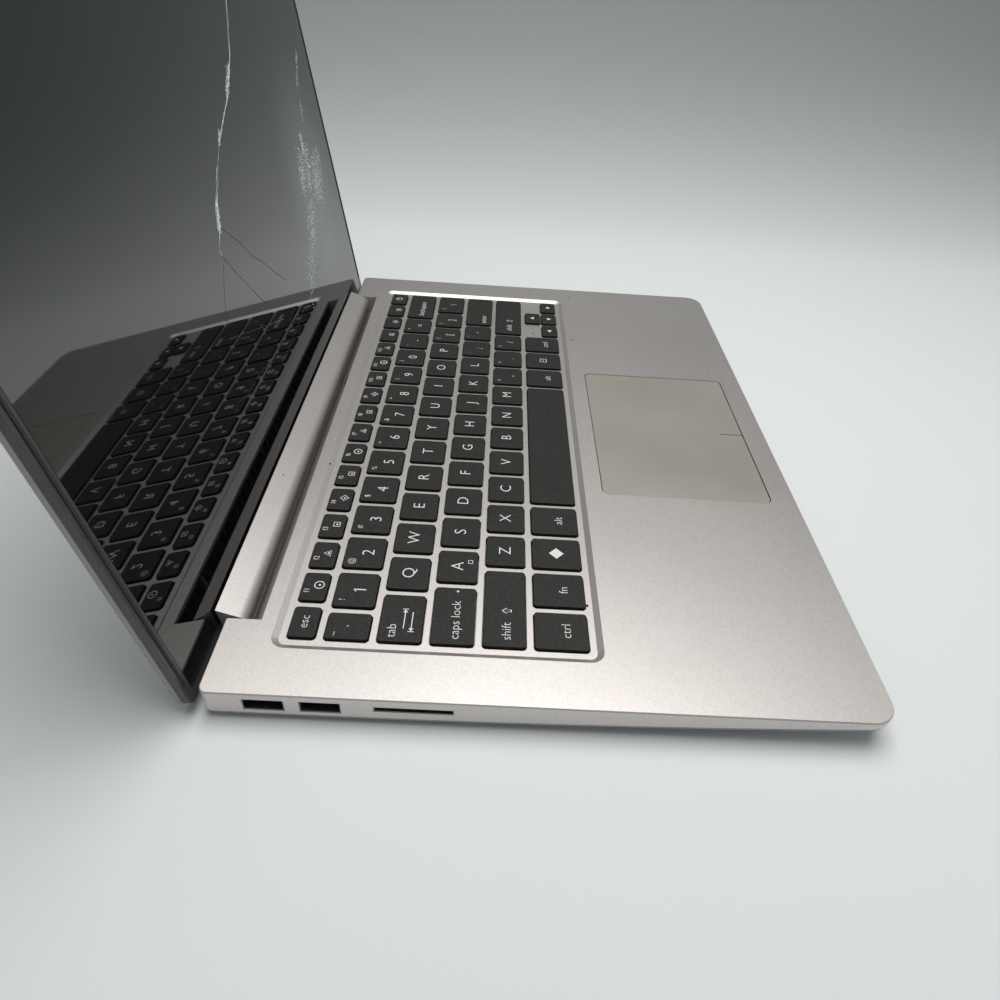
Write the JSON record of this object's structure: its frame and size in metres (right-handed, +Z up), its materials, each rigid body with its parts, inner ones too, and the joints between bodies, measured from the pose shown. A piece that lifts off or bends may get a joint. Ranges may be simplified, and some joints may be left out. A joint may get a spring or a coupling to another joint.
{
  "type": "laptop computer with cracked screen",
  "caption": "Thin open aluminium laptop with cracked glossy screen glass, dark keys in a recess, wide touchpad and side sockets.",
  "frame": {"origin": "bottom centre of the box round the open laptop, on the plane of its feet", "axes": "+X to the right of the person using it, +Y to the back, +Z up"},
  "size_m": [0.323, 0.265, 0.2248],
  "materials": {
    "silver_aluminium": "fine blasted and anodised, pale warm silver, small dark specks",
    "cover_aluminium": "anodised, grey",
    "screw_steel": "blackened",
    "foot_rubber": "matt black",
    "gasket_rubber": "matt black",
    "grille_plastic": "black",
    "plate_steel": "pressed sheet",
    "scissor_plastic": "off-white",
    "key_plastic": "charcoal, finely textured, white legends",
    "touchpad_glass": "etched glass, warm grey",
    "socket_steel": "plated sheet",
    "socket_plastic": "black",
    "board_laminate": "dark green laminate",
    "chip_resin": "black resin",
    "battery_film": "black film",
    "black_plastic": "black",
    "copper_pipe": "bare copper",
    "fin_aluminium": "bare",
    "cable_film": "black tape",
    "hinge_steel": "pressed and ground",
    "frame_plastic": "dark grey, satin",
    "screen_glass": "glossy, black behind, cracked",
    "panel_film": "switched off"
  },
  "bodies": {
    "base": {"audio_jack": "socket_plastic", "battery_pack": "battery_film", "bottom_cover": "cover_aluminium", "bottom_screws": "screw_steel", "bracket_screws": "screw_steel", "card_reader": "socket_steel", "display_cable_base": "cable_film", "exhaust_grille": "grille_plastic", "fan_housing": "black_plastic", "fin_stack": "fin_aluminium", "front_feet": "foot_rubber", "hdmi_socket": "socket_steel", "heat_pipe": "copper_pipe", "hinge_bracket_left": "hinge_steel", "hinge_bracket_right": "hinge_steel", "hinge_pins": "hinge_steel", "key_scissors": "scissor_plastic", "keyboard_plate": "plate_steel", "left_speaker": "black_plastic", "mainboard": "board_laminate", "memory_chips": "chip_resin", "power_inlet": "socket_plastic", "processor": "chip_resin", "rear_feet": "foot_rubber", "right_speaker": "black_plastic", "side_board": "board_laminate", "socket_tongues": "socket_plastic", "solid_state_drive": "chip_resin", "top_case": "silver_aluminium", "touchpad_bracket": "plate_steel", "usb_c_socket": "socket_steel", "usb_socket_front": "socket_steel", "usb_socket_rear": "socket_steel", "wireless_card": "chip_resin"},
    "lid": {"lid_cover": "cover_aluminium", "lid_frame": "frame_plastic", "rim_gasket": "gasket_rubber", "cover_glass": "screen_glass", "display_panel": "panel_film", "webcam_module": "black_plastic", "antennas": "black_plastic", "lid_magnets": "hinge_steel", "hinge_arm_left": "hinge_steel", "hinge_arm_right": "hinge_steel", "arm_screws": "screw_steel", "hinge_cover": "silver_aluminium", "display_cable_lid": "cable_film"},
    "touchpad": {"touchpad": "touchpad_glass"},
    "fan_rotor": {"fan_rotor": "black_plastic"},
    "escape_key": {"escape_key": "key_plastic"},
    "function_keys": {"function_keys": "key_plastic"},
    "power_key": {"power_key": "key_plastic"},
    "number_keys": {"number_keys": "key_plastic"},
    "upper_letter_keys": {"upper_letter_keys": "key_plastic"},
    "home_letter_keys": {"home_letter_keys": "key_plastic"},
    "enter_key": {"enter_key": "key_plastic"},
    "lower_letter_keys": {"lower_letter_keys": "key_plastic"},
    "bottom_keys": {"bottom_keys": "key_plastic"},
    "space_bar": {"space_bar": "key_plastic"},
    "arrow_keys": {"arrow_keys": "key_plastic"}
  },
  "joints": [
    {"name": "lid_hinge", "type": "hinge", "parent": "base", "child": "lid", "pos_m": [0, 0.08812, 0.0083], "axis": [-1, 0, 0], "range_deg": [-99, 26]},
    {"name": "touchpad_click", "type": "hinge", "parent": "base", "child": "touchpad", "pos_m": [0, -0.04718, 0.0123], "axis": [1, 0, 0], "range_deg": [0, 0.3], "stiffness_Nm_per_rad": 10, "springref_deg": -0.46},
    {"name": "fan_spin", "type": "hinge", "parent": "base", "child": "fan_rotor", "pos_m": [0.092, 0.03902, 0.005], "axis": [0, 0, 1], "continuous": true},
    {"name": "escape_key_press", "type": "slide", "parent": "base", "child": "escape_key", "axis": [0, 0, -1], "range_m": [0, 0.0012], "stiffness_N_per_m": 60, "springref_m": -0.008},
    {"name": "function_keys_press", "type": "slide", "parent": "base", "child": "function_keys", "axis": [0, 0, -1], "range_m": [0, 0.0012], "stiffness_N_per_m": 900, "springref_m": -0.008},
    {"name": "power_key_press", "type": "slide", "parent": "base", "child": "power_key", "axis": [0, 0, -1], "range_m": [0, 0.0012], "stiffness_N_per_m": 60, "springref_m": -0.008},
    {"name": "number_keys_press", "type": "slide", "parent": "base", "child": "number_keys", "axis": [0, 0, -1], "range_m": [0, 0.0012], "stiffness_N_per_m": 840, "springref_m": -0.008},
    {"name": "upper_letter_keys_press", "type": "slide", "parent": "base", "child": "upper_letter_keys", "axis": [0, 0, -1], "range_m": [0, 0.0012], "stiffness_N_per_m": 840, "springref_m": -0.008},
    {"name": "home_letter_keys_press", "type": "slide", "parent": "base", "child": "home_letter_keys", "axis": [0, 0, -1], "range_m": [0, 0.0012], "stiffness_N_per_m": 720, "springref_m": -0.008},
    {"name": "enter_key_press", "type": "slide", "parent": "base", "child": "enter_key", "axis": [0, 0, -1], "range_m": [0, 0.0012], "stiffness_N_per_m": 60, "springref_m": -0.008},
    {"name": "lower_letter_keys_press", "type": "slide", "parent": "base", "child": "lower_letter_keys", "axis": [0, 0, -1], "range_m": [0, 0.0012], "stiffness_N_per_m": 720, "springref_m": -0.008},
    {"name": "bottom_keys_press", "type": "slide", "parent": "base", "child": "bottom_keys", "axis": [0, 0, -1], "range_m": [0, 0.0012], "stiffness_N_per_m": 420, "springref_m": -0.008},
    {"name": "space_bar_press", "type": "slide", "parent": "base", "child": "space_bar", "axis": [0, 0, -1], "range_m": [0, 0.0012], "stiffness_N_per_m": 60, "springref_m": -0.008},
    {"name": "arrow_keys_press", "type": "slide", "parent": "base", "child": "arrow_keys", "axis": [0, 0, -1], "range_m": [0, 0.0012], "stiffness_N_per_m": 240, "springref_m": -0.008}
  ]
}
